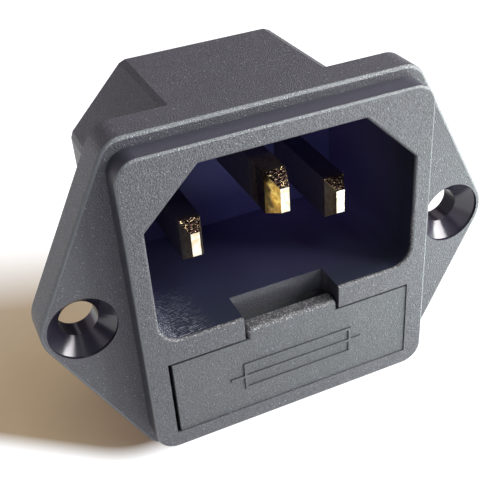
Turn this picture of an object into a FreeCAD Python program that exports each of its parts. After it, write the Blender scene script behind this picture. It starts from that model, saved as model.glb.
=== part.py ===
"""Panel inlet socket with a fuse drawer: a parametric FreeCAD document.

The socket sits on a panel by its flange.  X runs to the right seen from the
front, Z runs up, and the socket's mouth looks along -Y.  The origin is the
middle of the two screw holes, on the flange's rear face, which meets the panel.
All sizes are millimetres (angles in degrees) and live in the sheet "dims".
"""
import FreeCAD, Part
import os
import Sketcher

Vector = FreeCAD.Vector

# ------------------------------------------------------------------ the sheet
DIMS = {
    # flange: a hexagon whose two ears carry the screw holes
    "flange_thick": 3.4,
    "flange_half_top": 13.65,
    "flange_half_height": 16.1,
    "ear_reach": 21.95,
    "ear_round": 3.5,
    "flange_corner": 2.2,
    "moulded_edge": 0.35,
    "hole_half_pitch": 18.0,
    "screw_hole_dia": 3.4,
    "screw_sink_dia": 6.0,
    "screw_sink_lip": 0.3,
    "screw_sink_angle": 90.0,
    # boss: the raised face round the socket and the drawer
    "boss_rise": 2.25,
    "boss_half_width": 13.95,
    "boss_top": 15.2,
    "boss_drop": 14.7,
    "boss_corner": 2.0,
    "boss_edge": 0.25,
    # socket cavity
    "cavity_half_width": 12.25,
    "cavity_half_top": 7.35,
    "cavity_top": 13.5,
    "cavity_shoulder": 8.7,
    "cavity_drop": 2.5,
    "cavity_corner": 2.0,
    "cavity_depth": 15.6,
    "mouth_round": 0.25,
    # drawer bay under the cavity, and the finger notch between them
    "bay_half_width": 12.0,
    "bay_roof": 4.82,
    "bay_floor": 13.0,
    "notch_half_width": 4.68,
    "notch_depth": 3.35,
    # body behind the panel, measured where it leaves the flange
    "rear_length": 13.1,
    "rear_half_top": 7.4,
    "rear_top": 15.55,
    "rear_half_width": 13.35,
    "rear_shoulder": 9.45,
    "rear_drop": 15.3,
    "rear_draft": 1.1,
    "rear_edge": 0.35,
    # rear plate, let into the back of the body
    "plate_thick": 1.9,
    "plate_half_width": 12.0,
    "plate_half_top": 6.8,
    "plate_top": 14.2,
    "plate_shoulder": 8.9,
    "plate_drop": 13.9,
    # contact pins
    "pin_half_pitch": 7.0,
    "pin_height": 3.8,
    "earth_height": 7.8,
    "pin_half_wide": 1.0,
    "pin_half_tall": 2.0,
    "pin_tip": 1.85,
    "earth_tip": 5.1,
    "pin_point": 1.2,
    "earth_point": 1.9,
    "point_half_wide": 0.4,
    "point_half_tall": 1.15,
    "tail_dia": 1.8,
    "rivet_dia": 2.8,
    "rivet_rise": 0.5,
    "rivet_bevel": 0.3,
    # rear tabs
    "tab_thick": 0.8,
    "tab_wide": 4.8,
    "tab_length": 8.2,
    "tab_bend": 1.1,
    "tab_bend_inside": 0.3,
    "tab_hole_dia": 1.5,
    "tab_hole_back": 2.6,
    "tab_tip": 1.1,
    "foot_half": 2.4,
    "line_tab_drop": 9.6,
    "line_tab_across": 9.0,
    # contact clips in the bay
    "strip_thick": 0.4,
    "clip_half_wide": 1.6,
    "clip_wall_gap": 0.1,
    "clip_base": 5.0,
    "leaf_front": 2.95,
    "leaf_bend_rear": 8.9,
    "leaf_contact_gap": 0.1,
    "leaf_contact_half": 0.5,
    # drawer
    "drawer_set_back": 0.12,
    "drawer_front_thick": 1.63,
    "drawer_gap": 0.06,
    "drawer_left_gap": 0.33,
    "drawer_right_gap": 0.03,
    "drawer_low_gap": 0.03,
    "drawer_top_gap": 0.24,
    "drawer_edge": 0.12,
    "finger_tab_rise": 0.82,
    "finger_tab_thick": 1.38,
    "finger_tab_round": 0.45,
    "finger_tab_end": 0.5,
    "finger_tab_left_gap": 0.2,
    "well_half_width": 5.4,
    "well_floor": 6.0,
    "well_base": 6.9,
    "well_wall": 0.8,
    "tray_half_width": 10.9,
    "tray_rear_half_width": 9.9,
    "tray_step": 2.7,
    "tray_rear": 9.7,
    "tray_top": 8.2,
    "tray_floor_gap": 0.1,
    "cheek_thick": 0.8,
    "cheek_top": 5.0,
    "trough_radius": 2.7,
    "trough_height": 9.6,
    "trough_half_length": 10.05,
    "spare_fuse_y": -0.6,
    "live_fuse_y": 6.0,
    # fuses, 5 x 20
    "fuse_half_length": 10.0,
    "fuse_cap_radius": 2.6,
    "fuse_cap_length": 5.4,
    "fuse_cap_end": 0.3,
    "fuse_glass_radius": 2.3,
    "fuse_glass_wall": 0.5,
    "fuse_wire_radius": 0.12,
}

doc = FreeCAD.newDocument("panel_inlet_socket")
sheet = doc.addObject("Spreadsheet::Sheet", "dims")
for row, (alias, size) in enumerate(DIMS.items(), start=1):
    sheet.set(f"A{row}", alias)
    sheet.set(f"B{row}", str(size))
    sheet.setAlias(f"B{row}", alias)
doc.recompute()


# ---------------------------------------------------------------- expressions
def amount(term):
    """Number for a term: signed sheet names, added up, such as "flange_thick boss_rise"."""
    total = 0.0
    for word in term.split():
        name = word.lstrip("-")
        total += -DIMS[name] if word.startswith("-") else DIMS[name]
    return total


def formula(term):
    """The same term as a FreeCAD expression on the sheet."""
    text = ""
    for word in term.split():
        sign = "-" if word.startswith("-") else "+"
        text += f" {sign} dims.{word.lstrip('-')}"
    return text.removeprefix(" + ").strip()


# -------------------------------------------------------------------- helpers
FRONT_VIEW = "XZ_Plane"
TOP_VIEW = "XY_Plane"
SIDE_VIEW = "YZ_Plane"

# each pin: how far across, how high, and how far its tip stands in front of the flange's rear face
PINS = {
    "line_pin": ("-pin_half_pitch", "pin_height", "pin_tip"),
    "neutral_pin": ("pin_half_pitch", "pin_height", "pin_tip"),
    "earth_pin": ("", "earth_height", "earth_tip"),
}

sub_parts = []


def new_body(label):
    body = doc.addObject("PartDesign::Body", label)
    body.Label = label
    sub_parts.append(body)
    return body


def new_sketch(body, name, plane, offset=""):
    """A sketch on one of the body's own origin planes, moved along its normal."""
    sketch = body.newObject("Sketcher::SketchObject", name)
    origin_plane = next(p for p in body.Origin.OriginFeatures if p.Role == plane)
    sketch.AttachmentSupport = (origin_plane, [""])
    sketch.MapMode = "FlatFace"
    if offset:
        sketch.setExpression("AttachmentOffset.Base.z", formula(offset))
    return sketch


def pin_vertex(sketch, geometry, vertex, point):
    """Bind one sketch vertex to the sheet; an empty term puts it on the axis."""
    numbers = [amount(term) for term in point]
    for kind, axis, term, number in zip(("DistanceX", "DistanceY"), (-2, -1), point, numbers):
        if term:
            rule = sketch.addConstraint(Sketcher.Constraint(kind, -1, 1, geometry, vertex, number))
            sketch.setExpression(f"Constraints[{rule}]", formula(term))
        else:
            sketch.addConstraint(Sketcher.Constraint("PointOnObject", geometry, vertex, axis))


def draw_polygon(sketch, points):
    """A closed outline of straight edges through the given pairs of terms."""
    places = [Vector(amount(a), amount(b), 0) for a, b in points]
    edges = []
    for start, end in zip(places, places[1:] + places[:1]):
        edges.append(sketch.addGeometry(Part.LineSegment(start, end), False))
    for edge, following in zip(edges, edges[1:] + edges[:1]):
        sketch.addConstraint(Sketcher.Constraint("Coincident", edge, 2, following, 1))
    for edge, point in zip(edges, points):
        pin_vertex(sketch, edge, 1, point)


def draw_box(sketch, left, right, low, high):
    draw_polygon(sketch, [(left, low), (right, low), (right, high), (left, high)])


def draw_circle(sketch, centre, diameter):
    middle = Vector(amount(centre[0]), amount(centre[1]), 0)
    ring = sketch.addGeometry(Part.Circle(middle, Vector(0, 0, 1), amount(diameter) / 2), False)
    pin_vertex(sketch, ring, 3, centre)
    rule = sketch.addConstraint(Sketcher.Constraint("Diameter", ring, amount(diameter)))
    sketch.setExpression(f"Constraints[{rule}]", formula(diameter))


def pad(body, sketch, length, backwards=False, both_ways=False):
    feature = body.newObject("PartDesign::Pad", sketch.Name + "_pad")
    feature.Profile = sketch
    feature.setExpression("Length", formula(length))
    feature.Reversed = backwards
    feature.Midplane = both_ways
    sketch.Visibility = False
    doc.recompute()
    return feature


def pocket(body, sketch, length, backwards=False, both_ways=False):
    """Cut a sketch into the body, and make sure that it took something away."""
    before = body.Shape.Volume
    feature = body.newObject("PartDesign::Pocket", sketch.Name + "_pocket")
    feature.Profile = sketch
    feature.setExpression("Length", formula(length))
    feature.Reversed = backwards
    feature.Midplane = both_ways
    doc.recompute()
    if body.Shape.Volume >= before:
        raise RuntimeError(f"{feature.Name} cut nothing")
    return feature


def edges_where(shape, test):
    return [f"Edge{n}" for n, edge in enumerate(shape.Edges, start=1) if test(edge)]


def round_edges(body, name, radius, test):
    base = body.Tip
    feature = body.newObject("PartDesign::Fillet", name)
    feature.Base = (base, edges_where(base.Shape, test))
    feature.setExpression("Radius", formula(radius))
    doc.recompute()
    if "Invalid" in feature.State:
        raise RuntimeError(f"{body.Label}: {name} failed")
    return feature


def bevel_edges(body, name, size, test):
    base = body.Tip
    feature = body.newObject("PartDesign::Chamfer", name)
    feature.Base = (base, edges_where(base.Shape, test))
    feature.setExpression("Size", formula(size))
    doc.recompute()
    if "Invalid" in feature.State:
        raise RuntimeError(f"{body.Label}: {name} failed")
    return feature


def runs_along_y(edge):
    return edge.BoundBox.YLength > 0.5 and edge.BoundBox.XLength < 0.01 and edge.BoundBox.ZLength < 0.01


def lies_at_y(edge, y):
    return abs(edge.BoundBox.YMin - y) < 0.01 and abs(edge.BoundBox.YMax - y) < 0.01


def near(value, target, slack=0.02):
    return abs(value - target) < slack


# -------------------------------------------------------------------- housing
FRONT = "flange_thick boss_rise"
front_y = -amount(FRONT)
flange_y = -amount("flange_thick")


def cavity_outline():
    return [
        ("-cavity_half_width", "-cavity_drop"),
        ("cavity_half_width", "-cavity_drop"),
        ("cavity_half_width", "cavity_shoulder"),
        ("cavity_half_top", "cavity_top"),
        ("-cavity_half_top", "cavity_top"),
        ("-cavity_half_width", "cavity_shoulder"),
    ]


def plate_outline():
    return [
        ("-plate_half_width", "-plate_drop"),
        ("plate_half_width", "-plate_drop"),
        ("plate_half_width", "plate_shoulder"),
        ("plate_half_top", "plate_top"),
        ("-plate_half_top", "plate_top"),
        ("-plate_half_width", "plate_shoulder"),
    ]


def add_flange(body):
    sketch = new_sketch(body, "flange_outline", FRONT_VIEW)
    draw_polygon(sketch, [
        ("-flange_half_top", "-flange_half_height"),
        ("flange_half_top", "-flange_half_height"),
        ("ear_reach", ""),
        ("flange_half_top", "flange_half_height"),
        ("-flange_half_top", "flange_half_height"),
        ("-ear_reach", ""),
    ])
    pad(body, sketch, "flange_thick")
    reach = amount("ear_reach")
    round_edges(body, "ear_tips", "ear_round",
                lambda e: runs_along_y(e) and near(abs(e.BoundBox.XMin), reach))
    round_edges(body, "flange_corners", "flange_corner",
                lambda e: runs_along_y(e) and near(abs(e.BoundBox.XMin), amount("flange_half_top")))


def outside_boss(edge):
    """True for the flange's own outline, and not for the root of the boss."""
    middle = edge.BoundBox.Center
    clear = amount("moulded_edge")
    return (abs(middle.x) > amount("boss_half_width") + clear
            or middle.z > amount("boss_top") + clear or middle.z < -amount("boss_drop") - clear)


def add_boss(body):
    sketch = new_sketch(body, "boss_outline", FRONT_VIEW)
    draw_box(sketch, "-boss_half_width", "boss_half_width", "-boss_drop", "boss_top")
    pad(body, sketch, FRONT)
    half_width = amount("boss_half_width")
    round_edges(body, "boss_corners", "boss_corner",
                lambda e: runs_along_y(e) and near(abs(e.BoundBox.XMin), half_width)
                and near(e.BoundBox.YMin, front_y))
    round_edges(body, "flange_front_edge", "moulded_edge",
                lambda e: lies_at_y(e, flange_y) and outside_boss(e))
    round_edges(body, "boss_front_edge", "boss_edge", lambda e: lies_at_y(e, front_y))


def add_rear_body(body):
    sketch = new_sketch(body, "rear_outline", FRONT_VIEW)
    draw_polygon(sketch, [
        ("-rear_half_width", "-rear_drop"),
        ("rear_half_width", "-rear_drop"),
        ("rear_half_width", "rear_shoulder"),
        ("rear_half_top", "rear_top"),
        ("-rear_half_top", "rear_top"),
        ("-rear_half_width", "rear_shoulder"),
    ])
    feature = pad(body, sketch, "rear_length", backwards=True)
    feature.setExpression("TaperAngle", formula("-rear_draft"))
    doc.recompute()
    bevel_edges(body, "rear_edges", "rear_edge",
                lambda e: e.BoundBox.YMin > -0.01 and near(e.BoundBox.YLength, amount("rear_length")))


def add_cavity(body):
    sketch = new_sketch(body, "cavity_outline", FRONT_VIEW, FRONT)
    draw_polygon(sketch, cavity_outline())
    pocket(body, sketch, "cavity_depth")
    half_width = amount("cavity_half_width")
    floor = -amount("cavity_drop")
    round_edges(body, "cavity_corners", "cavity_corner",
                lambda e: runs_along_y(e) and near(abs(e.BoundBox.XMin), half_width)
                and near(e.BoundBox.ZMin, floor))
    round_edges(body, "cavity_mouth", "mouth_round",
                lambda e: lies_at_y(e, front_y) and e.BoundBox.ZMin > floor - 0.01
                and e.BoundBox.ZMax < amount("cavity_top") + 0.01
                and max(abs(e.BoundBox.XMin), abs(e.BoundBox.XMax)) < half_width + 0.01)


def add_drawer_bay(body):
    sketch = new_sketch(body, "bay_outline", FRONT_VIEW, FRONT)
    draw_box(sketch, "-bay_half_width", "bay_half_width", "-bay_floor", "-bay_roof")
    pocket(body, sketch, "flange_thick boss_rise rear_length")
    notch = new_sketch(body, "notch_outline", FRONT_VIEW, FRONT)
    draw_box(notch, "-notch_half_width", "notch_half_width", "-bay_roof", "-cavity_drop")
    pocket(body, notch, "notch_depth")


def add_rear_recess(body):
    sketch = new_sketch(body, "recess_outline", FRONT_VIEW, "-rear_length")
    draw_polygon(sketch, plate_outline())
    pocket(body, sketch, "plate_thick", backwards=True)


def draw_pin_section(sketch, across, height):
    """The rectangular section of one contact pin."""
    draw_box(sketch, across + " -pin_half_wide", across + " pin_half_wide",
             height + " -pin_half_tall", height + " pin_half_tall")


def add_pin_slots(body):
    """Slots through the wall between the cavity and the rear plate."""
    sketch = new_sketch(body, "pin_slots", FRONT_VIEW, "-rear_length")
    for across, height, _ in PINS.values():
        draw_pin_section(sketch, across, height)
    pocket(body, sketch, "rear_length", backwards=True)


def add_screw_holes(body):
    """Countersunk holes whose cones start a little below the flange's face."""
    lips = new_sketch(body, "sink_lips", FRONT_VIEW, "flange_thick")
    sketch = new_sketch(body, "screw_centres", FRONT_VIEW, "flange_thick -screw_sink_lip")
    for side in ("-", ""):
        draw_circle(lips, (side + "hole_half_pitch", ""), "screw_sink_dia")
        draw_circle(sketch, (side + "hole_half_pitch", ""), "screw_hole_dia")
    pocket(body, lips, "screw_sink_lip")
    hole = body.newObject("PartDesign::Hole", "screw_holes")
    hole.Profile = sketch
    doc.recompute()
    hole.DepthType = "ThroughAll"
    hole.ThreadType = "None"
    hole.setExpression("Diameter", formula("screw_hole_dia"))
    hole.HoleCutType = "Countersink"
    hole.HoleCutCustomValues = True
    hole.setExpression("HoleCutDiameter", formula("screw_sink_dia"))
    hole.setExpression("HoleCutCountersinkAngle", formula("screw_sink_angle"))
    doc.recompute()
    body.Tip = hole


def make_housing():
    body = new_body("housing")
    add_flange(body)
    add_boss(body)
    add_rear_body(body)
    add_cavity(body)
    add_drawer_bay(body)
    add_rear_recess(body)
    add_pin_slots(body)
    add_screw_holes(body)


# ------------------------------------------------------------------ rear plate
PLATE_FRONT = "rear_length -plate_thick"


def opposite(term):
    """The same term with every sign turned round."""
    return " ".join(word[1:] if word.startswith("-") else "-" + word for word in term.split())


def strap_outline():
    """Supply strap: down from the line pin, then across to the bay's left wall."""
    wall = "-bay_half_width clip_wall_gap"
    return [
        ("-pin_half_pitch -clip_half_wide", "pin_height pin_half_tall"),
        ("-pin_half_pitch clip_half_wide", "pin_height pin_half_tall"),
        ("-pin_half_pitch clip_half_wide", "-line_tab_drop -clip_half_wide"),
        (wall, "-line_tab_drop -clip_half_wide"),
        (wall, "-line_tab_drop clip_half_wide"),
        ("-pin_half_pitch -clip_half_wide", "-line_tab_drop clip_half_wide"),
    ]


def base_outline():
    """Base of the load clip, against the bay's right wall."""
    wall = "bay_half_width -clip_wall_gap"
    low, high = "-line_tab_drop -clip_half_wide", "-line_tab_drop clip_half_wide"
    return [(wall + " -clip_base", low), (wall, low), (wall, high), (wall + " -clip_base", high)]


def make_rear_plate():
    body = new_body("rear_plate")
    plate = new_sketch(body, "plate_outline", FRONT_VIEW, "-rear_length")
    draw_polygon(plate, plate_outline())
    pad(body, plate, "plate_thick")
    seats = new_sketch(body, "strip_seats", FRONT_VIEW, opposite(PLATE_FRONT))
    draw_polygon(seats, strap_outline())
    draw_polygon(seats, base_outline())
    pocket(body, seats, "strip_thick")
    head = new_sketch(body, "line_rivet_seat", FRONT_VIEW, opposite(PLATE_FRONT))
    draw_circle(head, ("-pin_half_pitch", "pin_height"), "rivet_dia clip_wall_gap")
    pocket(body, head, "strip_thick rivet_rise clip_wall_gap")
    tails = new_sketch(body, "tail_holes", FRONT_VIEW, opposite(PLATE_FRONT))
    for across, height in RIVETED_TABS.values():
        draw_circle(tails, (across, height), "tail_dia")
    pocket(body, tails, "plate_thick")


# ----------------------------------------------------------------- pins, rivet
RIVETED_TABS = {
    "neutral_tab": ("pin_half_pitch", "pin_height"),
    "earth_tab": ("", "earth_height"),
    "line_tab": ("line_tab_across", "-line_tab_drop"),
}


def add_rivet_head(body, across, height, seat, backwards):
    """A peened head on the plane at distance seat behind the flange's rear face."""
    sketch = new_sketch(body, "head_front" if not backwards else "head_rear", FRONT_VIEW, opposite(seat))
    draw_circle(sketch, (across, height), "rivet_dia")
    pad(body, sketch, "rivet_rise", backwards=backwards)
    outer = amount(seat) + (1 if backwards else -1) * amount("rivet_rise")
    bevel_edges(body, sketch.Name + "_bevel", "rivet_bevel", lambda e: lies_at_y(e, outer))


def add_tail(body, across, height, start, length):
    sketch = new_sketch(body, "tail", FRONT_VIEW, opposite(start))
    draw_circle(sketch, (across, height), "tail_dia")
    pad(body, sketch, length, backwards=True)


def make_pin(label, across, height, tip):
    """Solid brass pin: bevelled point, square shank, round tail with a peened head."""
    point_length = "earth_point" if label == "earth_pin" else "pin_point"
    body = new_body(label)
    shank = new_sketch(body, "shank", FRONT_VIEW, opposite(PLATE_FRONT))
    draw_pin_section(shank, across, height)
    pad(body, shank, f"{PLATE_FRONT} {tip} -{point_length}")
    root = new_sketch(body, "point_root", FRONT_VIEW, f"{tip} -{point_length}")
    draw_pin_section(root, across, height)
    end = new_sketch(body, "point_end", FRONT_VIEW, tip)
    draw_box(end, across + " -point_half_wide", across + " point_half_wide",
             height + " -point_half_tall", height + " point_half_tall")
    point = body.newObject("PartDesign::AdditiveLoft", "point")
    point.Profile = root
    point.Sections = [end]
    doc.recompute()
    if label == "line_pin":
        add_tail(body, across, height, PLATE_FRONT, "strip_thick")
        add_rivet_head(body, across, height, PLATE_FRONT + " strip_thick", True)
    else:
        add_tail(body, across, height, PLATE_FRONT, "plate_thick tab_thick")
        add_rivet_head(body, across, height, "rear_length tab_thick", True)


def make_load_rivet():
    """Rivet that joins the load clip, the rear plate and the line tab."""
    across, height = RIVETED_TABS["line_tab"]
    body = new_body("load_rivet")
    add_tail(body, across, height, PLATE_FRONT, "plate_thick tab_thick")
    add_rivet_head(body, across, height, PLATE_FRONT, False)
    add_rivet_head(body, across, height, "rear_length tab_thick", True)


# ------------------------------------------------------------------- rear tabs
def foot_and_blade(middle):
    """L profile seen along the bend: pairs of (along the foot, backwards)."""
    outer = middle + " foot_half"
    return [
        (middle + " -foot_half", "rear_length"),
        (outer, "rear_length"),
        (outer, "rear_length tab_length"),
        (outer + " -tab_thick", "rear_length tab_length"),
        (outer + " -tab_thick", "rear_length tab_thick"),
        (middle + " -foot_half", "rear_length tab_thick"),
    ]


def make_tab(label, across, height):
    """Solder tab: a foot under the rivet, bent back into a blade with a wire hole."""
    body = new_body(label)
    upright = label != "earth_tab"
    middle, level = (across, height) if upright else (height, across)
    profile = foot_and_blade(middle)
    if not upright:
        profile = [(back, along) for along, back in profile]
    sketch = new_sketch(body, "bent_strip", TOP_VIEW if upright else SIDE_VIEW, level)
    draw_polygon(sketch, profile)
    pad(body, sketch, "tab_wide", both_ways=True)
    outer, rear = amount(middle + " foot_half"), amount("rear_length")

    def across_bend(edge, along, back):
        box = edge.BoundBox
        low, high = (box.XMin, box.XMax) if upright else (box.ZMin, box.ZMax)
        return near(low, along) and near(high, along) and near(box.YMin, back) and near(box.YMax, back)

    inner = outer - amount("tab_thick")
    heel = rear + amount("tab_thick")
    end = rear + amount("tab_length")
    round_edges(body, "bend_outside", "tab_bend", lambda e: across_bend(e, outer, rear))
    round_edges(body, "bend_inside", "tab_bend_inside", lambda e: across_bend(e, inner, heel))
    bevel_edges(body, "blade_tip", "tab_tip",
                lambda e: lies_at_y(e, end) and near(e.Length, amount("tab_thick")))
    rivet = new_sketch(body, "rivet_hole", FRONT_VIEW, "-rear_length")
    draw_circle(rivet, (across, height), "tail_dia")
    pocket(body, rivet, "tab_thick")
    back = "rear_length tab_length -tab_hole_back"
    wire_centre = (back, level) if upright else (level, back)
    wire = new_sketch(body, "wire_hole", SIDE_VIEW if upright else TOP_VIEW, middle + " foot_half")
    draw_circle(wire, wire_centre, "tab_hole_dia")
    pocket(body, wire, "tab_thick")


# ---------------------------------------------------------------- contact clips
def leaf_outline(side):
    """Spring leaf from above: along the bay's wall, bowed in to the fuse's end cap."""
    inward = "" if side == "-" else "-"
    outer = f"{side}bay_half_width {inward}clip_wall_gap"
    inner = f"{outer} {inward}strip_thick"
    touch = f"{side}fuse_half_length {side}leaf_contact_gap"
    behind = f"{touch} {side}strip_thick"
    contact_rear = "live_fuse_y leaf_contact_half"
    contact_front = "live_fuse_y -leaf_contact_half"
    return [
        (outer, PLATE_FRONT + " strip_thick"),
        (outer, "leaf_bend_rear"),
        (behind, contact_rear),
        (behind, contact_front),
        (outer, "leaf_front"),
        (inner, "leaf_front"),
        (touch, contact_front),
        (touch, contact_rear),
        (inner, "leaf_bend_rear"),
        (inner, PLATE_FRONT + " strip_thick"),
    ]


def make_clip(label, side, flat_outline, rivet_place):
    """Bronze strip: a flat part let into the rear plate and a leaf along the bay."""
    body = new_body(label)
    flat = new_sketch(body, "flat_part", FRONT_VIEW, opposite(PLATE_FRONT))
    draw_polygon(flat, flat_outline)
    pad(body, flat, "strip_thick", backwards=True)
    leaf = new_sketch(body, "leaf", TOP_VIEW, "-line_tab_drop")
    draw_polygon(leaf, leaf_outline(side))
    pad(body, leaf, "clip_half_wide clip_half_wide", both_ways=True)
    hole = new_sketch(body, "tail_hole", FRONT_VIEW, opposite(PLATE_FRONT))
    draw_circle(hole, rivet_place, "tail_dia")
    pocket(body, hole, "strip_thick")


# ----------------------------------------------------------------------- drawer
DRAWER_FRONT = FRONT + " -drawer_set_back"
TRAY_FRONT = opposite(DRAWER_FRONT) + " drawer_front_thick"
drawer_y = -amount(DRAWER_FRONT)


def add_drawer_front(body):
    face = new_sketch(body, "drawer_face", FRONT_VIEW, DRAWER_FRONT)
    draw_box(face, "-bay_half_width drawer_left_gap", "bay_half_width -drawer_right_gap",
             "-bay_floor drawer_low_gap", "-bay_roof -drawer_top_gap")
    pad(body, face, "drawer_front_thick", backwards=True)
    tab = new_sketch(body, "finger_tab", FRONT_VIEW, DRAWER_FRONT)
    draw_box(tab, "-notch_half_width finger_tab_left_gap", "notch_half_width -drawer_gap",
             "-tray_top", "-bay_roof finger_tab_rise")
    pad(body, tab, "finger_tab_thick", backwards=True)
    top = amount("-bay_roof finger_tab_rise")
    round_edges(body, "finger_tab_ends", "finger_tab_end",
                lambda e: runs_along_y(e) and near(e.BoundBox.ZMin, top))
    round_edges(body, "finger_tab_edge", "finger_tab_round",
                lambda e: lies_at_y(e, drawer_y) and near(e.BoundBox.ZMax, top))
    high = amount("-bay_roof -drawer_top_gap")
    left = amount("-bay_half_width drawer_left_gap")
    round_edges(body, "drawer_front_edges", "drawer_edge",
                lambda e: lies_at_y(e, drawer_y)
                and (near(e.BoundBox.Center.z, high) or near(e.BoundBox.XMax, left)))


def add_finger_well(body):
    """Recess behind the finger tab; its rear wall carries on the notch's rear wall."""
    wall_front = opposite(FRONT) + " notch_depth"
    wall_rear = wall_front + " well_wall"
    base = new_sketch(body, "well_base", TOP_VIEW, "-well_base")
    draw_box(base, "-well_half_width", "well_half_width",
             opposite(DRAWER_FRONT) + " finger_tab_thick", wall_rear)
    pad(body, base, "well_base -well_floor")
    wall = new_sketch(body, "well_wall", TOP_VIEW, "-well_base")
    draw_box(wall, "-well_half_width", "well_half_width", wall_front, wall_rear)
    pad(body, wall, "well_base -bay_roof -drawer_gap")


def add_tray(body):
    tray = new_sketch(body, "tray_outline", TOP_VIEW, "-bay_floor tray_floor_gap")
    draw_polygon(tray, [
        ("-tray_half_width", TRAY_FRONT),
        ("tray_half_width", TRAY_FRONT),
        ("tray_half_width", "tray_step"),
        ("tray_rear_half_width", "tray_step"),
        ("tray_rear_half_width", "tray_rear"),
        ("-tray_rear_half_width", "tray_rear"),
        ("-tray_rear_half_width", "tray_step"),
        ("-tray_half_width", "tray_step"),
    ])
    pad(body, tray, "bay_floor -tray_floor_gap -tray_top")
    cheeks = new_sketch(body, "cheeks", TOP_VIEW, "-tray_top")
    draw_box(cheeks, "-tray_half_width", "-tray_half_width cheek_thick", TRAY_FRONT, "tray_step")
    draw_box(cheeks, "tray_half_width -cheek_thick", "tray_half_width", TRAY_FRONT, "tray_step")
    pad(body, cheeks, "tray_top -cheek_top")


def add_troughs(body):
    """Two troughs, each a little more than half round, so that a fuse snaps in."""
    sketch = new_sketch(body, "trough_sections", SIDE_VIEW)
    for centre in ("spare_fuse_y", "live_fuse_y"):
        draw_circle(sketch, (centre, "-trough_height"), "trough_radius trough_radius")
    troughs = pocket(body, sketch, "trough_half_length trough_half_length", both_ways=True)
    body.Tip = troughs


def make_drawer():
    body = new_body("fuse_drawer")
    add_drawer_front(body)
    add_finger_well(body)
    add_tray(body)
    add_troughs(body)


# ------------------------------------------------------------------------ fuses
def place_along(body, centre, turned=False):
    """Put a piece that was drawn round the X axis on the fuse's own axis."""
    if turned:
        body.Placement.Rotation = FreeCAD.Rotation(Vector(0, 0, 1), 180)
    body.setExpression("Placement.Base.y", formula(centre))
    body.setExpression("Placement.Base.z", formula("-trough_height"))


def make_fuse(prefix, centre):
    """Glass cartridge fuse: tube, two end caps and the wire between them."""
    inside = "fuse_half_length -fuse_cap_end"
    glass = new_body(prefix + "fuse_glass")
    tube = new_sketch(glass, "tube_section", SIDE_VIEW)
    draw_circle(tube, ("", ""), "fuse_glass_radius fuse_glass_radius")
    bore = "fuse_glass_radius fuse_glass_radius -fuse_glass_wall -fuse_glass_wall"
    draw_circle(tube, ("", ""), bore)
    pad(glass, tube, f"{inside} {inside}", both_ways=True)
    place_along(glass, centre)

    for name, turned in (("right", False), ("left", True)):
        cap = new_body(f"{prefix}fuse_cap_{name}")
        wall = new_sketch(cap, "cap_wall", TOP_VIEW)
        draw_polygon(wall, [
            (inside, ""),
            ("fuse_half_length", ""),
            ("fuse_half_length", "fuse_cap_radius"),
            ("fuse_half_length -fuse_cap_length", "fuse_cap_radius"),
            ("fuse_half_length -fuse_cap_length", "fuse_glass_radius"),
            (inside, "fuse_glass_radius"),
        ])
        turn = cap.newObject("PartDesign::Revolution", "cap_turned")
        turn.Profile = wall
        turn.ReferenceAxis = (wall, ["H_Axis"])
        turn.Angle = 360
        doc.recompute()
        place_along(cap, centre, turned)

    wire = new_body(prefix + "fuse_wire")
    section = new_sketch(wire, "wire_section", SIDE_VIEW)
    draw_circle(section, ("", ""), "fuse_wire_radius fuse_wire_radius")
    pad(wire, section, f"{inside} {inside}", both_ways=True)
    place_along(wire, centre)


# ----------------------------------------------------------------- the assembly
def make_all():
    make_housing()
    make_rear_plate()
    for label, (across, height, tip) in PINS.items():
        make_pin(label, across, height, tip)
    for label, (across, height) in RIVETED_TABS.items():
        make_tab(label, across, height)
    make_load_rivet()
    make_clip("supply_clip", "-", strap_outline(), ("-pin_half_pitch", "pin_height"))
    make_clip("load_clip", "", base_outline(), ("line_tab_across", "-line_tab_drop"))
    make_drawer()
    make_fuse("", "live_fuse_y")
    make_fuse("spare_", "spare_fuse_y")


def check_document():
    doc.recompute()
    for item in doc.Objects:
        if "Invalid" in item.State or "Error" in item.State:
            raise RuntimeError(f"{item.Label} failed: {item.State}")
    for body in sub_parts:
        if body.Shape.isNull() or not body.Shape.isValid() or len(body.Shape.Solids) != 1:
            raise RuntimeError(f"{body.Label} is not one sound solid")


def export_parts(folder):
    os.makedirs(folder, exist_ok=True)
    for body in sub_parts:
        body.Shape.exportStep(os.path.join(folder, body.Label + ".step"))
        box = body.Shape.BoundBox
        print(f"{body.Label:22s} {body.Shape.Volume:9.2f} mm3  "
              f"x {box.XMin:7.2f} {box.XMax:7.2f}  y {box.YMin:7.2f} {box.YMax:7.2f}  "
              f"z {box.ZMin:7.2f} {box.ZMax:7.2f}")


make_all()
check_document()
export_parts("parts")
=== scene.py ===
import math

import bmesh
import bpy
from mathutils import Matrix, Vector


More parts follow.
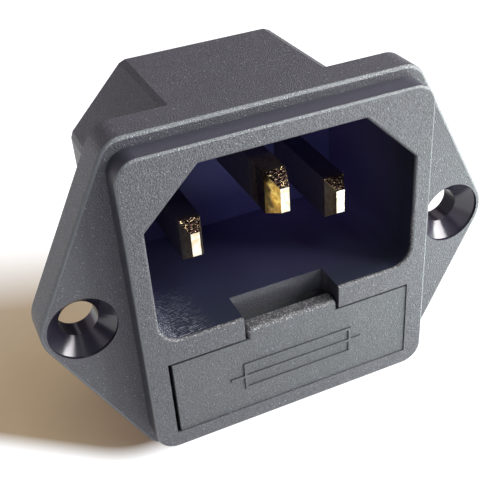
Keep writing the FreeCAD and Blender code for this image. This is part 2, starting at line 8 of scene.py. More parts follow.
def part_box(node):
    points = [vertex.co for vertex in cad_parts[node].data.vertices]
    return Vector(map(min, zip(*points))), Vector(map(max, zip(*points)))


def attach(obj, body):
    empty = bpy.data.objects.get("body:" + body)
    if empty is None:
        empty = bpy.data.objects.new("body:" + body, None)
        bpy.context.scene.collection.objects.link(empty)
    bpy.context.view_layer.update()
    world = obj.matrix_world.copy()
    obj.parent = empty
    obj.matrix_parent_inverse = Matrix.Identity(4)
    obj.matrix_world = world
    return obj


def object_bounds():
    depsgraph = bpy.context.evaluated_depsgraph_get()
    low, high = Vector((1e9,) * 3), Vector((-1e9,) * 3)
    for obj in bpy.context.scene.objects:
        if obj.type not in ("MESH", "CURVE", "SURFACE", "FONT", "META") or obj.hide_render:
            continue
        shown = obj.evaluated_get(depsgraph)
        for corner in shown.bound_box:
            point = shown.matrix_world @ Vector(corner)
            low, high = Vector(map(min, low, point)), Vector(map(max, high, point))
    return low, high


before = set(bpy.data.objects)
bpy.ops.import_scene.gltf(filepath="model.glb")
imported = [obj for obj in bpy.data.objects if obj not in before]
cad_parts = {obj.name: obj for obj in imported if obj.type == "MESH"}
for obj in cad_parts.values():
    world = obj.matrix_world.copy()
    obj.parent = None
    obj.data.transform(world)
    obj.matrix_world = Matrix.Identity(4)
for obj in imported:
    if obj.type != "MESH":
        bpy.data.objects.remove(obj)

# Looks of the panel inlet socket: grained black mouldings, polished cavity and countersinks, brass pins,
# tinned tabs, bronze clips and glass fuses. Lengths are metres and angles degrees. +Z is up and the mouth
# looks along -Y, so a depth is a place on Y that grows inwards.

MM = 0.001
cad_low, cad_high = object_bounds()
drawer_low, drawer_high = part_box("fuse_drawer")

FLANGE_FACE = -3.4 * MM


def colour(red, green, blue):
    return (red, green, blue, 1.0)


WHITE = colour(1.0, 1.0, 1.0)


# ------------------------------------------------------------------ shader helpers
class NodeSet:
    """The nodes of a material or of the world, made and linked by their sockets."""

    def __init__(self, owner):
        owner.use_nodes = True
        self.nodes = owner.node_tree.nodes
        self.links = owner.node_tree.links

    def link(self, value, socket):
        """Feed a socket from another socket, or set it to a plain value."""
        if isinstance(value, bpy.types.NodeSocket):
            self.links.new(value, socket)
        else:
            socket.default_value = value

    def feed(self, node, values):
        """Feed a node's sockets in their order."""
        for value, socket in zip(values, node.inputs):
            self.link(value, socket)

    def math(self, operation, *values):
        node = self.nodes.new("ShaderNodeMath")
        node.operation = operation
        self.feed(node, values)
        return node.outputs[0]

    def vector_math(self, operation, *values):
        node = self.nodes.new("ShaderNodeVectorMath")
        node.operation = operation
        self.feed(node, values)
        return node.outputs[1 if operation in ("LENGTH", "DOT_PRODUCT") else 0]

    def is_over(self, value, limit):
        return self.math("GREATER_THAN", value, limit)

    def is_under(self, value, limit):
        return self.math("LESS_THAN", value, limit)

    def all_of(self, first, *others):
        """Masks multiplied together, so that the result is 1 only where each of them is."""
        for other in others:
            first = self.math("MULTIPLY", first, other)
        return first

    def largest(self, first, *others):
        for other in others:
            first = self.math("MAXIMUM", first, other)
        return first

    def parts_of(self, vector):
        node = self.nodes.new("ShaderNodeSeparateXYZ")
        self.link(vector, node.inputs[0])
        return node.outputs

    def ramp(self, value, low, high, out_low=0.0, out_high=1.0):
        """Straight change of a value from one range to another, held at both ends."""
        node = self.nodes.new("ShaderNodeMapRange")
        self.feed(node, (value, low, high, out_low, out_high))
        return node.outputs[0]

    def mix(self, kind, share, first, second):
        node = self.nodes.new("ShaderNodeMix")
        node.data_type = kind
        self.link(share, node.inputs["Factor"])
        self.link(first, node.inputs["A"])
        self.link(second, node.inputs["B"])
        return node.outputs["Result"]

    def blend(self, share, first, second):
        """Share of the second colour over the first."""
        return self.mix("RGBA", share, first, second)

    def mix_numbers(self, share, first, second):
        return self.mix("FLOAT", share, first, second)


class Shader(NodeSet):
    """A material under construction, with its own place and facing on the object."""

    def __init__(self, name):
        self.material = bpy.data.materials.new(name)
        super().__init__(self.material)
        self.surface = self.nodes["Principled BSDF"]
        coordinates = self.nodes.new("ShaderNodeTexCoord").outputs
        self.place = coordinates["Object"]
        self.facing = coordinates["Normal"]

    def noise(self, size, detail=2.0, roughness=0.5, stretch=None, place=None):
        """Noise whose lumps are about size metres across, longer along an axis whose stretch is below 1."""
        place = self.place if place is None else place
        if stretch:
            place = self.vector_math("MULTIPLY", place, stretch)
        node = self.nodes.new("ShaderNodeTexNoise")
        self.link(place, node.inputs["Vector"])
        node.inputs["Scale"].default_value = 1.0 / size
        node.inputs["Detail"].default_value = detail
        node.inputs["Roughness"].default_value = roughness
        return node.outputs["Fac"]

    def hairs(self, width, degrees, low, high):
        """Fine straight scratches in level planes, lying at an angle to the X axis."""
        node = self.nodes.new("ShaderNodeVectorRotate")
        node.rotation_type = "Z_AXIS"
        self.link(self.place, node.inputs["Vector"])
        node.inputs["Angle"].default_value = -math.radians(degrees)
        lines = self.noise(width, detail=1.0, stretch=(0.07, 1.0, 1.0), place=node.outputs[0])
        return self.ramp(lines, low, high)

    def inside_box(self, low, high):
        """1 inside the box between two corners, 0 outside."""
        low, high = Vector(low), Vector(high)
        from_middle = self.vector_math("SUBTRACT", self.place, tuple((low + high) / 2))
        reach = self.vector_math("ABSOLUTE", from_middle)
        beyond = self.vector_math("SUBTRACT", reach, tuple((high - low) / 2))
        return self.is_under(self.largest(*self.parts_of(beyond)), 0.0)

    def bump(self, height, depth, strength=1.0, below=None):
        """Relief of the given depth in metres; below is a coarser relief that it lies on."""
        node = self.nodes.new("ShaderNodeBump")
        self.link(height, node.inputs["Height"])
        self.link(strength, node.inputs["Strength"])
        node.inputs["Distance"].default_value = depth
        if below is not None:
            self.links.new(below, node.inputs["Normal"])
        return node.outputs["Normal"]

    def finish(self, **sockets):
        """Set or link the surface's own sockets, given with underscores for spaces."""
        for name, value in sockets.items():
            self.link(value, self.surface.inputs[name.replace("_", " ")])
        return self.material


# ------------------------------------------------------------ zones of the mouldings
HOLE_X = 18.0 * MM
SINK_RADIUS = 3.02 * MM
CAVITY_LOW = (-12.3 * MM, -5.35 * MM, -2.55 * MM)
CAVITY_HIGH = (12.3 * MM, 10.0 * MM, 13.55 * MM)
# The cavity's top corners are cut by a slant: its direction outwards and up, and how far out it lies.
CAVITY_CUT = (0.7, 0.714)
CAVITY_CUT_REACH = 14.9 * MM
REAR_WALL_DEPTH = 9.75 * MM

RIM_LOW = (-12.62 * MM, -5.635 * MM, -2.95 * MM)
RIM_HIGH = (12.62 * MM, -5.37 * MM, 2.5 * MM)
TAB_LOW = (-6.0 * MM, drawer_low.y + 0.02 * MM, drawer_high.z - 0.5 * MM)
TAB_HIGH = (6.0 * MM, drawer_low.y + 1.6 * MM, drawer_high.z + 0.1 * MM)
WALL_FRONT = FLANGE_FACE - 0.05 * MM
FRONT_SKIN = cad_low.y + 0.16 * MM
EDGE_REAR = -2.9 * MM
# A box inside the outer edges, which keeps the mouth and the drawer out of their zone.
EDGES_LOW = (-13.3 * MM, -6.0 * MM, -14.1 * MM)
EDGES_HIGH = (13.3 * MM, 0.0, 14.6 * MM)

# How much of a surface's facing lies along Y: 1 on a level front, 0 on a wall that runs straight inwards.
DRAW_WALL_TURN = 0.35
ROUNDED_TURN = (0.25, 0.97)
SIGN_SIDE_TURN = 0.8
DRAWER_EDGE_TURN = 0.95


def front_turn(shader):
    """How much the surface faces straight ahead or straight back."""
    return shader.math("ABSOLUTE", shader.parts_of(shader.facing)[1])


def in_cavity(shader):
    """The polished walls of the socket's cavity, whose top corners are cut off."""
    x, _, z = shader.parts_of(shader.place)
    slant = shader.math("ADD",
                        shader.math("MULTIPLY", shader.math("ABSOLUTE", x), CAVITY_CUT[0]),
                        shader.math("MULTIPLY", z, CAVITY_CUT[1]))
    return shader.all_of(shader.inside_box(CAVITY_LOW, CAVITY_HIGH),
                         shader.is_under(slant, CAVITY_CUT_REACH))


def on_rear_wall(shader):
    """The cavity's rear wall, duller than its sides."""
    depth = shader.parts_of(shader.place)[1]
    return shader.all_of(in_cavity(shader), shader.is_over(depth, REAR_WALL_DEPTH))


def in_screw_holes(shader):
    """The two countersunk holes, mirrored about the middle plane."""
    x, _, z = shader.parts_of(shader.place)
    across = shader.math("SUBTRACT", shader.math("ABSOLUTE", x), HOLE_X)
    from_axis = shader.math("SQRT", shader.math("ADD",
                                                shader.math("MULTIPLY", across, across),
                                                shader.math("MULTIPLY", z, z)))
    return shader.is_under(from_axis, SINK_RADIUS)


def on_draw_walls(shader):
    """Walls in front of the flange that run along the mould's opening direction and carry little grain."""
    depth = shader.parts_of(shader.place)[1]
    return shader.all_of(shader.is_under(front_turn(shader), DRAW_WALL_TURN),
                         shader.is_under(depth, WALL_FRONT), shader.is_over(depth, FRONT_SKIN))


def on_outer_edges(shader):
    """Rounded front edges of the raised face and the flange, worn smoother, and made paler by a painted
    highlight.
    """
    turn = front_turn(shader)
    depth = shader.parts_of(shader.place)[1]
    within = shader.inside_box(EDGES_LOW, EDGES_HIGH)
    return shader.all_of(shader.is_over(turn, ROUNDED_TURN[0]), shader.is_under(turn, ROUNDED_TURN[1]),
                         shader.is_under(depth, EDGE_REAR), shader.math("SUBTRACT", 1.0, within))


def on_sign_sides(shader):
    """Sloping sides of the raised sign, painted dark as their shade."""
    return shader.is_under(front_turn(shader), SIGN_SIDE_TURN)


def on_mouth_rim(shader):
    """The rounded lower rim of the mouth, which plugs knock and rub, and where bright glints are painted
    on.
    """
    return shader.inside_box(RIM_LOW, RIM_HIGH)


def on_finger_tab(shader):
    """Top of the drawer's finger tab, with its rounded front edge, where bright glints are painted on."""
    return shader.inside_box(TAB_LOW, TAB_HIGH)


def on_drawer_edges(shader):
    """The drawer front's rounded edges and sides, painted dark as the shade of its seam."""
    depth = shader.parts_of(shader.place)[1]
    return shader.all_of(shader.is_under(front_turn(shader), DRAWER_EDGE_TURN),
                         shader.is_under(depth, WALL_FRONT))


# ----------------------------------------------------------------- black mouldings
GRAIN = 0.13 * MM
GRAIN_DEPTH = 0.10 * MM
MOTTLE = 1.6 * MM
FACET = 0.10 * MM
SPECK = 0.16 * MM
# Stretched a little, so that the specks don't fall in step with the grain.
SPECK_STRETCH = (1.03, 0.97, 1.0)
SPECK_EDGE = 0.05
SPECK_TONE = colour(0.30, 0.31, 0.33)

# Each tone set is the valleys of the grain in two shades, its facets, and where its bright specks begin.
HOUSING_TONES = (
    colour(0.054, 0.054, 0.064), colour(0.066, 0.066, 0.077), colour(0.145, 0.146, 0.161), 0.75)
DRAWER_TONES = (
    colour(0.065, 0.068, 0.075), colour(0.076, 0.080, 0.087), colour(0.152, 0.160, 0.169), 0.79)

GLINT = 0.15 * MM
# Dark base and bright painted glints for the rubbed edges.
PAINTED_GLINT_TONES = colour(0.078, 0.076, 0.082), colour(0.50, 0.50, 0.49)
RUBBED_ROUGHNESS = 0.28
RUBBED_RELIEF = 1.1

# Scratches that plugs leave: their width, their angle to the X axis, and the ramp that brings them out.
SCRATCHES = (
    (0.07 * MM, 8, 0.62, 0.69),
    (0.06 * MM, 26, 0.65, 0.69),
    (0.06 * MM, -60, 0.66, 0.69),
)
SCUFF_TONE = colour(0.50, 0.52, 0.56)
SCUFF_HAZE = 0.04
SCUFF_ROUGHNESS = 0.4

SHINE = 0.8
DULL_SHINE = 0.1

DRAW_WALL_TONE = colour(0.050, 0.051, 0.070)
# Painted highlight: the rounded outer edges are made paler than the face.
OUTER_EDGE_PAINTED_HIGHLIGHT = colour(0.245, 0.268, 0.270)
SCREW_HOLE_TONE = colour(0.034, 0.029, 0.046)
# Painted shade in the drawer's seam.
DRAWER_EDGE_PAINTED_SHADE = colour(0.014, 0.014, 0.020)
# Painted shade along the sides of the raised sign.
SIGN_SIDE_PAINTED_SHADE = colour(0.010, 0.010, 0.016)
CAVITY_MOUTH_TONE = colour(0.031, 0.036, 0.058)
# Painted fill light: the cavity is made paler and bluer further in, where its shade is deepest.
CAVITY_DEPTH_PAINTED_FILL_TONES = colour(0.046, 0.046, 0.115), colour(0.150, 0.122, 0.330)
# Painted fill light on the rear wall, with painted shade towards its left.
REAR_WALL_PAINTED_FILL_TONES = colour(0.044, 0.042, 0.108), colour(0.098, 0.094, 0.245)

# Where each change of tone begins and ends, in the direction that its name gives.
NAVY_INWARDS = (-4.0 * MM, 9.0 * MM)
NAVY_RIGHTWARDS = (-6.0 * MM, 8.0 * MM)
REAR_WALL_RIGHTWARDS = (-5.0 * MM, 1.5 * MM)
WEAR_OUTWARDS = (2.0 * MM, -4.0 * MM)
WEAR_LEFTWARDS = (-7.0 * MM, -11.0 * MM)
WEAR_DOWNWARDS = (1.0 * MM, -1.5 * MM)


def navy_with_painted_fill(shader):
    """Blue-black of the cavity, painted paler and bluer further in and to the right as fill light in its
    shade.
    """
    across, depth, _ = shader.parts_of(shader.place)
    deep = shader.blend(shader.ramp(across, *NAVY_RIGHTWARDS), *CAVITY_DEPTH_PAINTED_FILL_TONES)
    return shader.blend(shader.ramp(depth, *NAVY_INWARDS), CAVITY_MOUTH_TONE, deep)


def rear_wall_painted_fill_and_shade(shader):
    """Navy of the rear wall, painted paler as fill light in the cavity's shade, and darker towards the left
    as painted shade against the light that falls there.
    """
    across = shader.parts_of(shader.place)[0]
    return shader.blend(shader.ramp(across, *REAR_WALL_RIGHTWARDS), *REAR_WALL_PAINTED_FILL_TONES)


def plug_wear(shader):
    """Where plugs have rubbed the cavity floor: strongest just inside the mouth, low on the left."""
    across, depth, height = shader.parts_of(shader.place)
    return shader.all_of(shader.ramp(depth, *WEAR_OUTWARDS), shader.ramp(across, *WEAR_LEFTWARDS),
                         shader.ramp(height, *WEAR_DOWNWARDS), in_cavity(shader))


def grained_tone(shader, tones):
    """Mottled black with paler facets and a few bright specks."""
    valley, ridge, facet, speck_from = tones
    mottle = shader.noise(MOTTLE, detail=3.0)
    fine = shader.noise(FACET, detail=1.0)
    specks = shader.noise(SPECK, detail=0.0, stretch=SPECK_STRETCH)
    tone = shader.blend(shader.ramp(mottle, 0.3, 0.7), valley, ridge)
    tone = shader.blend(shader.ramp(fine, 0.40, 0.66), tone, facet)
    return shader.blend(shader.ramp(specks, speck_from, speck_from + SPECK_EDGE), tone, SPECK_TONE)


def moulded_black(name, tones=HOUSING_TONES, smooth_and_painted_zones=(), rubbed=None, scuffed=False, dull=None):
    """Black moulding compound: spark-eroded grain outside, smooth where the tool was smooth.

    Each smooth zone is a mask, the colour that shows there, its roughness and the grain left on it; on some
    zones that colour is a painted highlight, fill light or shade.
    A rubbed zone is a mask of edges whose grain is coarse and polished, and where bright glints are painted
    into the colour.
    A dull zone is a mask of walls that reflect little.
    """
    shader = Shader(name)
    grain = shader.noise(GRAIN, detail=2.0, roughness=0.65)
    tone = grained_tone(shader, tones)
    roughness = shader.ramp(grain, 0.3, 0.75, 0.52, 0.32)
    relief = 1.0
    for zone, zone_tone, zone_roughness, grain_left in smooth_and_painted_zones:
        inside = zone(shader)
        tone = shader.blend(inside, tone, zone_tone(shader) if callable(zone_tone) else zone_tone)
        roughness = shader.mix_numbers(inside, roughness, zone_roughness)
        relief = shader.mix_numbers(inside, relief, grain_left)
    if rubbed:
        edge = rubbed(shader)
        glints = shader.ramp(shader.noise(GLINT, detail=1.0, roughness=0.7), 0.52, 0.70)
        # Bright glints painted into the colour of the rubbed edges.
        tone = shader.blend(edge, tone, shader.blend(glints, *PAINTED_GLINT_TONES))
        roughness = shader.mix_numbers(edge, roughness, RUBBED_ROUGHNESS)
        relief = shader.mix_numbers(edge, relief, RUBBED_RELIEF)
    if scuffed:
        wear = plug_wear(shader)
        hairs = shader.largest(*(shader.hairs(*scratch) for scratch in SCRATCHES))
        shown = shader.ramp(hairs, 0.0, 1.0, SCUFF_HAZE, 1.0)
        tone = shader.blend(shader.all_of(wear, shown), tone, SCUFF_TONE)
        roughness = shader.mix_numbers(shader.all_of(wear, hairs), roughness, SCUFF_ROUGHNESS)
    shine = shader.mix_numbers(dull(shader), SHINE, DULL_SHINE) if dull else SHINE
    return shader.finish(
        Base_Color=tone, Roughness=roughness, Specular_IOR_Level=shine,
        Normal=shader.bump(grain, GRAIN_DEPTH, relief))


def housing_moulding():
    return moulded_black("housing_moulding", smooth_and_painted_zones=(
        (on_draw_walls, DRAW_WALL_TONE, 0.38, 0.25),
        (on_outer_edges, OUTER_EDGE_PAINTED_HIGHLIGHT, 0.25, 1.0),
        (in_cavity, navy_with_painted_fill, 0.2, 0.02),
        (on_rear_wall, rear_wall_painted_fill_and_shade, 0.5, 0.2),
        (in_screw_holes, SCREW_HOLE_TONE, 0.2, 0.02),
    ), rubbed=on_mouth_rim, scuffed=True, dull=on_rear_wall)


def drawer_moulding():
    return moulded_black("drawer_moulding", DRAWER_TONES, (
        (on_drawer_edges, DRAWER_EDGE_PAINTED_SHADE, 0.5, 0.2),
    ), rubbed=on_finger_tab)


def sign_moulding():
    return moulded_black("sign_moulding", DRAWER_TONES, (
        (on_sign_sides, SIGN_SIDE_PAINTED_SHADE, 0.5, 0.1),
    ))


# ---------------------------------------------------------------- metals and glass
# Brass is bright up to this depth, dulls and darkens with painted shade over the next stretch, and is
# bright again behind the cavity.
PIN_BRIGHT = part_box("earth_pin")[0].y + 2.6 * MM
PIN_DULLING_AND_SHADE = 2.5 * MM
BRASS_TONES = colour(0.86, 0.70, 0.30), colour(0.60, 0.38, 0.11)
# Painted shade on the brass inside the cavity.
BRASS_PAINTED_SHADE = colour(0.17, 0.145, 0.20)
# Painted reflection: ends that face out of the mouth are made pale.
CUT_END_PAINTED_REFLECTION = colour(0.90, 0.86, 0.74), colour(0.72, 0.61, 0.40)
# Painted sparkle on painted dark tops of the milled points.
MILLED_PAINTED_SPARKLE_AND_SHADE = colour(0.95, 0.74, 0.40), colour(0.10, 0.06, 0.05)
# How far a face turns inwards, below 0 where it looks out of the mouth, and how far upwards.
CUT_END_INWARD = -0.75
MILLED_INWARD = -0.2
MILLED_UPWARD = 0.3
MILLED_DEPTH = 0.16 * MM


def drawn_brass():
    """Bright brass with a painted reflection making the cut ends pale, dulled and darkened by painted shade
    deeper in the cavity, and rough where the points are milled, with painted sparkle and painted shade on
    the milled tops.
    """
    shader = Shader("drawn_brass")
    depth = shader.parts_of(shader.place)[1]
    _, inward, upward = shader.parts_of(shader.facing)
    patches = shader.noise(0.5 * MM, detail=3.0, roughness=0.6)
    clouds = shader.ramp(patches, 0.42, 0.62)
    # Painted shade inside the cavity, along with a duller finish.
    dull_and_shaded = shader.all_of(shader.ramp(depth, PIN_BRIGHT, PIN_BRIGHT + PIN_DULLING_AND_SHADE),
                           shader.is_under(depth, CAVITY_HIGH[1]))
    milled = shader.all_of(shader.is_over(upward, MILLED_UPWARD), shader.is_under(inward, MILLED_INWARD))
    cuts = shader.noise(0.20 * MM, detail=2.0)
    tone = shader.blend(dull_and_shaded, shader.blend(clouds, *BRASS_TONES), BRASS_PAINTED_SHADE)
    # Painted reflection on the ends that face out of the mouth.
    tone = shader.blend(shader.is_under(inward, CUT_END_INWARD), tone, shader.blend(clouds, *CUT_END_PAINTED_REFLECTION))
    # Painted sparkle and painted shade on the milled tops.
    tone = shader.blend(milled, tone, shader.blend(shader.ramp(cuts, 0.36, 0.46), *MILLED_PAINTED_SPARKLE_AND_SHADE))
    roughness = shader.mix_numbers(dull_and_shaded, shader.ramp(patches, 0.35, 0.7, 0.10, 0.20), 0.5)
    lines = shader.noise(0.06 * MM, detail=2.0, stretch=(1.0, 0.05, 1.0))
    dents = shader.bump(shader.noise(0.9 * MM, detail=0.0), 0.06 * MM, 0.5)
    drawn = shader.bump(lines, 0.003 * MM, 0.5, below=dents)
    return shader.finish(
        Base_Color=tone, Metallic=1.0, Roughness=shader.mix_numbers(milled, roughness, 0.16),
        Normal=shader.bump(cuts, MILLED_DEPTH, milled, below=drawn))


def tinned_strip():
    """Tin-plated strip: soft silver with faint rolling lines and dull clouds."""
    shader = Shader("tinned_strip")
    lines = shader.noise(0.07 * MM, detail=3.0, stretch=(1.0, 0.06, 1.0))
    clouds = shader.noise(1.1 * MM, detail=4.0, roughness=0.6)
    return shader.finish(
        Base_Color=shader.blend(shader.ramp(clouds, 0.35, 0.7),
                                colour(0.60, 0.59, 0.57), colour(0.44, 0.43, 0.42)),
        Metallic=1.0, Roughness=shader.ramp(clouds, 0.3, 0.7, 0.32, 0.48),
        Normal=shader.bump(lines, 0.006 * MM, 0.5))


def spring_bronze():
    """Rolled bronze of the fuse clips, reddish with browner clouds."""
    shader = Shader("spring_bronze")
    lines = shader.noise(0.06 * MM, detail=3.0, stretch=(1.0, 0.08, 1.0))
    clouds = shader.noise(0.9 * MM, detail=3.0)
    return shader.finish(
        Base_Color=shader.blend(shader.ramp(clouds, 0.35, 0.7),
                                colour(0.74, 0.47, 0.26), colour(0.52, 0.30, 0.15)),
        Metallic=1.0, Roughness=shader.ramp(clouds, 0.3, 0.7, 0.24, 0.42),
        Normal=shader.bump(lines, 0.005 * MM, 0.5))


def nickel_plate():
    """Warm grey plating of the fuse caps, with duller patches."""
    shader = Shader("nickel_plate")
    wear = shader.noise(0.6 * MM, detail=4.0, roughness=0.65)
    return shader.finish(
        Base_Color=shader.blend(shader.ramp(wear, 0.45, 0.75),
                                colour(0.60, 0.57, 0.52), colour(0.50, 0.47, 0.42)),
        Metallic=1.0, Roughness=shader.ramp(wear, 0.3, 0.7, 0.26, 0.42),
        Normal=shader.bump(wear, 0.006 * MM, 0.4))


def fuse_wire_metal():
    """Thin drawn wire inside a fuse."""
    shader = Shader("fuse_wire_metal")
    tone = shader.blend(shader.noise(0.05 * MM, detail=2.0),
                        colour(0.68, 0.66, 0.62), colour(0.50, 0.48, 0.45))
    return shader.finish(Base_Color=tone, Metallic=1.0, Roughness=0.35)


def clear_glass():
    """Glass tube of a fuse, with a faint ripple."""
    shader = Shader("clear_glass")
    ripple = shader.noise(1.2 * MM, detail=2.0)
    return shader.finish(
        Base_Color=shader.blend(ripple, colour(0.93, 0.96, 0.95), colour(0.97, 0.98, 0.98)),
        Roughness=0.03, IOR=1.5, Transmission_Weight=1.0,
        Normal=shader.bump(ripple, 0.01 * MM, 0.2))


# ----------------------------------------------------------------- pieces' finishes
PINS = ("line_pin", "neutral_pin", "earth_pin")
FUSE_PIECES = ("fuse_glass", "fuse_cap_left", "fuse_cap_right", "fuse_wire")
PIN_WELD = 0.002 * MM
PIN_BEVEL = 0.22 * MM
PIN_BEVEL_ANGLE = 25


def dress_pieces():
    """Give every node the finish that its real piece has."""
    finishes = {"housing": housing_moulding(), "fuse_drawer": drawer_moulding(),
                "rear_plate": moulded_black("small_moulding")}
    finishes |= dict.fromkeys(PINS + ("load_rivet",), drawn_brass())
    finishes |= dict.fromkeys(("line_tab", "neutral_tab", "earth_tab"), tinned_strip())
    finishes |= dict.fromkeys(("supply_clip", "load_clip"), spring_bronze())
    nickel = nickel_plate()
    fuse = dict(zip(FUSE_PIECES, (clear_glass(), nickel, nickel, fuse_wire_metal())))
    finishes |= fuse | {"spare_" + name: finish for name, finish in fuse.items()}
    for name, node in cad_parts.items():
        node.data.materials.clear()
        node.data.materials.append(finishes[name])


def soften_pins():
    """Round the sharp edges of the three pins."""
    for name in PINS:
        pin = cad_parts[name]
        joined = pin.modifiers.new("joined", "WELD")
        joined.merge_threshold = PIN_WELD
        softened = pin.modifiers.new("softened", "BEVEL")
        softened.width = PIN_BEVEL
        softened.segments = 3
        softened.limit_method = "ANGLE"
        softened.angle_limit = math.radians(PIN_BEVEL_ANGLE)


# ---------------------------------------------------------------- raised fuse sign
SIGN_LINE = 0.34 * MM
SIGN_LEFT, SIGN_RIGHT = -5.08 * MM, 6.00 * MM
SIGN_LOW, SIGN_HIGH = -10.72 * MM, -7.66 * MM
SIGN_LEADS = (-6.4 * MM, 7.0 * MM)
SIGN_SUNK = 0.03 * MM
SIGN_DRAFT = 0.05 * MM
SIGN_FRONT = cad_low.y + 0.002 * MM


def move_to_depth(faces, depth):
    """Bring the corners of flat faces to one depth."""
    for v in {v for f in faces for v in f.verts}:
        v.co.y = depth


def sign_outline(relief):
    """Flat faces of the sign: a frame of lines, a wire across its middle and a lead at either end."""
    middle = (SIGN_LOW + SIGN_HIGH) / 2
    columns = (SIGN_LEADS[0], SIGN_LEFT, SIGN_LEFT + SIGN_LINE,
               SIGN_RIGHT - SIGN_LINE, SIGN_RIGHT, SIGN_LEADS[1])
    rows = (SIGN_LOW, SIGN_LOW + SIGN_LINE, middle - SIGN_LINE / 2, middle + SIGN_LINE / 2,
            SIGN_HIGH - SIGN_LINE, SIGN_HIGH)
    leads = {(0, 2), (4, 2)}
    sides = {(c, r) for c in (1, 3) for r in range(5)}
    levels = {(2, r) for r in (0, 2, 4)}
    rear_y = drawer_low.y + SIGN_SUNK
    corner = {(c, r): relief.verts.new((x, rear_y, z))
              for c, x in enumerate(columns) for r, z in enumerate(rows)}
    for c, r in sorted(leads | sides | levels):
        relief.faces.new([corner[c, r], corner[c, r + 1], corner[c + 1, r + 1], corner[c + 1, r]])
    loose = [v for v in relief.verts if not v.link_faces]
    bmesh.ops.delete(relief, geom=loose, context="VERTS")


def settle_faces(relief):
    """List the faces by their corners, because extruding lists them in another order each time."""
    relief.verts.index_update()
    ranked = sorted(relief.faces, key=lambda f: sorted(v.index for v in f.verts))
    rank = {f: i for i, f in enumerate(ranked)}
    relief.faces.sort(key=rank.get)


def make_fuse_sign():
    """Fuse sign standing up from the drawer, as one closed relief with sloping sides."""
    relief = bmesh.new()
    sign_outline(relief)
    risen = bmesh.ops.extrude_face_region(relief, geom=relief.faces[:])
    tops = [f for f in risen["geom"] if isinstance(f, bmesh.types.BMFace)]
    move_to_depth(tops, drawer_low.y)
    bmesh.ops.inset_region(
        relief, faces=tops, thickness=SIGN_DRAFT, use_boundary=True, use_even_offset=True)
    move_to_depth(tops, SIGN_FRONT)
    bmesh.ops.recalc_face_normals(relief, faces=relief.faces[:])
    settle_faces(relief)
    mesh = bpy.data.meshes.new("fuse_sign")
    relief.to_mesh(mesh)
    relief.free()
    sign = bpy.data.objects.new("fuse_sign", mesh)
    bpy.context.scene.collection.objects.link(sign)
    mesh.materials.append(sign_moulding())
    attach(sign, "drawer")


# --------------------------------------------------------------------------- floor
FLOOR_SIZE = 3.0
FLOOR_TONES = colour(0.28, 0.28, 0.29), colour(0.34, 0.34, 0.34)
# The painted shadow fades out round its middle, over this reach.
SHADE_MIDDLE = (-10.0 * MM, 14.0 * MM, 0.0)
SHADE_REACH = (21.0 * MM, 30.0 * MM)
# Straight edges of the painted shadow: the direction that each faces, and how far out along it the edge
# lies.
SHADE_EDGES = (
    ((-0.607, -0.795, 0.0), 12.7 * MM),
    ((0.0, -1.0, 0.0), 3.3 * MM),
    ((0.358, 0.934, 0.0), 23.0 * MM),
)
SHADE_CORNER = 2.6 * MM
# How soft the painted shadow's edges are, near the part and behind it, from inside to outside.
SHADE_NEAR_EDGE = (-0.9 * MM, 1.1 * MM)
SHADE_REAR_EDGE = (-8.0 * MM, 8.0 * MM)
# Warm tones of the painted shadow, far from the part and close to it.
PAINTED_SHADOW_TONES = colour(0.305, 0.218, 0.112), colour(0.150, 0.098, 0.055)
# The painted shadow darkens over these stretches, to the right and outwards.
SHADE_RIGHTWARDS = (-25.0 * MM, -14.5 * MM)
SHADE_OUTWARDS = (16.0 * MM, 5.0 * MM)


def beyond_painted_shadow(shader):
    """0 in the shadow painted to the left of the part, 1 on the lit table top round it."""
    from_middle = shader.vector_math("SUBTRACT", shader.place, SHADE_MIDDLE)
    left, front, rear = (
        shader.math("SUBTRACT", shader.vector_math("DOT_PRODUCT", shader.place, out), lies)
        for out, lies in SHADE_EDGES)
    corner = shader.math("SMOOTH_MAX", left, front, SHADE_CORNER)
    return shader.largest(shader.ramp(shader.vector_math("LENGTH", from_middle), *SHADE_REACH),
                          shader.ramp(corner, *SHADE_NEAR_EDGE), shader.ramp(rear, *SHADE_REAR_EDGE))


def painted_shadow_tone(shader):
    """Warm brown of the painted shadow, darker close to the part."""
    across, depth, _ = shader.parts_of(shader.place)
    near_part = shader.all_of(shader.ramp(across, *SHADE_RIGHTWARDS), shader.ramp(depth, *SHADE_OUTWARDS))
    return shader.blend(near_part, *PAINTED_SHADOW_TONES)


def floor_material():
    """Pale table top, white all round, with a warm shadow painted to the left of the object over its real
    one.
    """
    shader = Shader("pale_floor")
    tone = shader.blend(shader.noise(3.0 * MM, detail=4.0), *FLOOR_TONES)
    shader.finish(Base_Color=tone, Roughness=0.9, Specular_IOR_Level=0.0)
    glow = shader.nodes.new("ShaderNodeEmission")
    # The glow paints the shadow to the left of the part, and white elsewhere.
    shader.link(shader.blend(beyond_painted_shadow(shader), painted_shadow_tone(shader), WHITE), glow.inputs["Color"])
    path = shader.nodes.new("ShaderNodeLightPath").outputs
    seen = shader.largest(*(path[ray] for ray in ("Is Camera Ray", "Is Transmission Ray", "Is Glossy Ray")))
    shader.link(seen, glow.inputs["Strength"])
    both = shader.nodes.new("ShaderNodeAddShader")
    shader.feed(both, (shader.surface.outputs[0], glow.outputs[0]))
    shader.link(both.outputs[0], shader.nodes["Material Output"].inputs["Surface"])
    shader.material.cycles.emission_sampling = "NONE"
    return shader.material


def add_floor():
    bpy.ops.mesh.primitive_plane_add(size=FLOOR_SIZE, location=(0, 0, cad_low.z))
    floor = bpy.context.object
    floor.name = "floor"
    floor.data.materials.append(floor_material())


# -------------------------------------------------------------------------- lights
SQUARE = (0.21, 0.21)
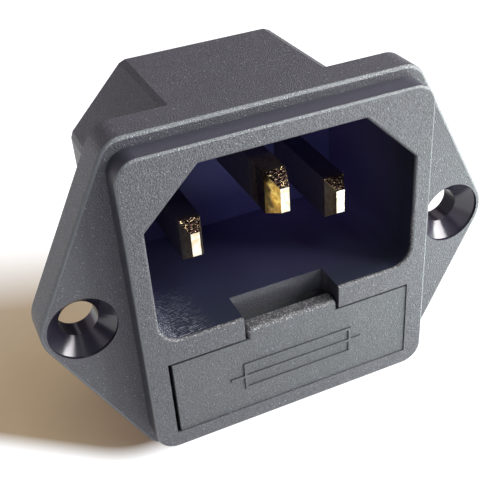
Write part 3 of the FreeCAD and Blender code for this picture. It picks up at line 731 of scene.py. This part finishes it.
# Each lamp's name, azimuth, elevation, distance, width and height, power in watts, and tint. Azimuth 0 is
# straight in front of the mouth, and 90 is to the right of someone who looks into it.
LAMPS = (
    ("window", 70, 29, 0.2, (0.15, 0.10), 0.66, (1.0, 0.965, 0.98)),
    ("wide_window", 75, 8, 0.3, SQUARE, 0.26, (0.88, 1.0, 0.92)),
    ("low_card", 50, -13, 0.05, (0.030, 0.006), 0.0132, (0.86, 1.0, 0.95)),
    ("high_window", 35, 60, 0.25, (0.10, 0.05), 0.105, (0.90, 1.0, 0.96)),
    ("skylight", 150, 50, 0.3, SQUARE, 0.08, (1.0, 0.90, 1.0)),
    ("blue_sky", -5, 8, 0.3, SQUARE, 0.08, (0.33, 0.42, 1.0)),
    ("left_card", -32, 18, 0.3, SQUARE, 0.085, (1.0, 0.95, 1.02)),
    ("behind_left", -150, 8, 0.3, SQUARE, 0.05, (1.0, 0.90, 1.03)),
)


def add_lamp(name, azimuth, elevation, distance, size, power, tint):
    """Area lamp that looks at the part and doesn't show itself."""
    lamp = bpy.data.lights.new(name, "AREA")
    lamp.shape = "RECTANGLE"
    lamp.size, lamp.size_y = size
    lamp.energy = power
    lamp.color = tint
    holder = bpy.data.objects.new(name, lamp)
    bpy.context.scene.collection.objects.link(holder)
    a, e = math.radians(azimuth), math.radians(elevation)
    out = Vector((math.sin(a) * math.cos(e), -math.cos(a) * math.cos(e), math.sin(e)))
    holder.location = out * distance
    holder.rotation_euler = (-out).to_track_quat("-Z", "Y").to_euler()
    holder.visible_camera = False


WORLD_LEVEL = 0.05
WORLD_BEHIND = 0.10
WORLD_OVERHEAD = 0.12
WORLD_TINT = colour(1.0, 0.87, 1.03)
# How far up, or back, a direction points where each band of the room begins and where it ends.
LOW_BAND = (0.05, 0.55)
LOW_BAND_LEVELS = (0.95, 0.16)
BACK_BAND = (-0.2, 0.7)
TOP_BAND = (0.5, 1.0)


def add_world():
    """Dim room, a little brighter low down behind the part and overhead; white to the eye itself."""
    world = bpy.data.worlds.new("studio")
    bpy.context.scene.world = world
    room = NodeSet(world)
    direction = room.nodes.new("ShaderNodeTexCoord").outputs["Generated"]
    _, back, height = room.parts_of(direction)
    low_band = room.all_of(room.ramp(height, *LOW_BAND, *LOW_BAND_LEVELS),
                           room.ramp(back, *BACK_BAND, 0.0, WORLD_BEHIND))
    overhead = room.ramp(height, *TOP_BAND, WORLD_LEVEL, WORLD_OVERHEAD)
    dim = room.nodes.new("ShaderNodeBackground")
    room.feed(dim, (WORLD_TINT, room.math("ADD", low_band, overhead)))
    seen = room.nodes["Background"]
    seen.inputs["Color"].default_value = WHITE
    mix = room.nodes.new("ShaderNodeMixShader")
    path = room.nodes.new("ShaderNodeLightPath").outputs
    room.feed(mix, (path["Is Camera Ray"], dim.outputs[0], seen.outputs[0]))
    room.link(mix.outputs[0], room.nodes["World Output"].inputs["Surface"])


# -------------------------------------------------------------------------- camera
CAMERA_PLACE = Vector((-25.496, -59.657, 44.381)) * MM
CAMERA_AZIMUTH = 22.013
CAMERA_ELEVATION = 34.462
CAMERA_ROLL = -4.203
CAMERA_LENS = 61.706
CAMERA_SENSOR = 36.0
CAMERA_NEAR = 1.0 * MM


def add_camera():
    camera = bpy.data.objects.new("camera", bpy.data.cameras.new("camera"))
    bpy.context.scene.collection.objects.link(camera)
    camera.data.lens = CAMERA_LENS
    camera.data.sensor_width = CAMERA_SENSOR
    camera.data.clip_start = CAMERA_NEAR
    azimuth, elevation, roll = (math.radians(a) for a in (CAMERA_AZIMUTH, CAMERA_ELEVATION, CAMERA_ROLL))
    ahead = Vector((math.sin(azimuth) * math.cos(elevation), math.cos(azimuth) * math.cos(elevation),
                    -math.sin(elevation)))
    level = ahead.cross(Vector((0, 0, 1))).normalized()
    upright = level.cross(ahead)
    right = level * math.cos(roll) + upright * math.sin(roll)
    up = upright * math.cos(roll) - level * math.sin(roll)
    turn = Matrix((right, up, -ahead)).transposed().to_4x4()
    camera.matrix_world = Matrix.Translation(CAMERA_PLACE) @ turn
    bpy.context.scene.camera = camera


dress_pieces()
soften_pins()
make_fuse_sign()
add_floor()
for lamp_settings in LAMPS:
    add_lamp(*lamp_settings)
add_world()
add_camera()
bpy.context.scene.view_settings.view_transform = "Standard"
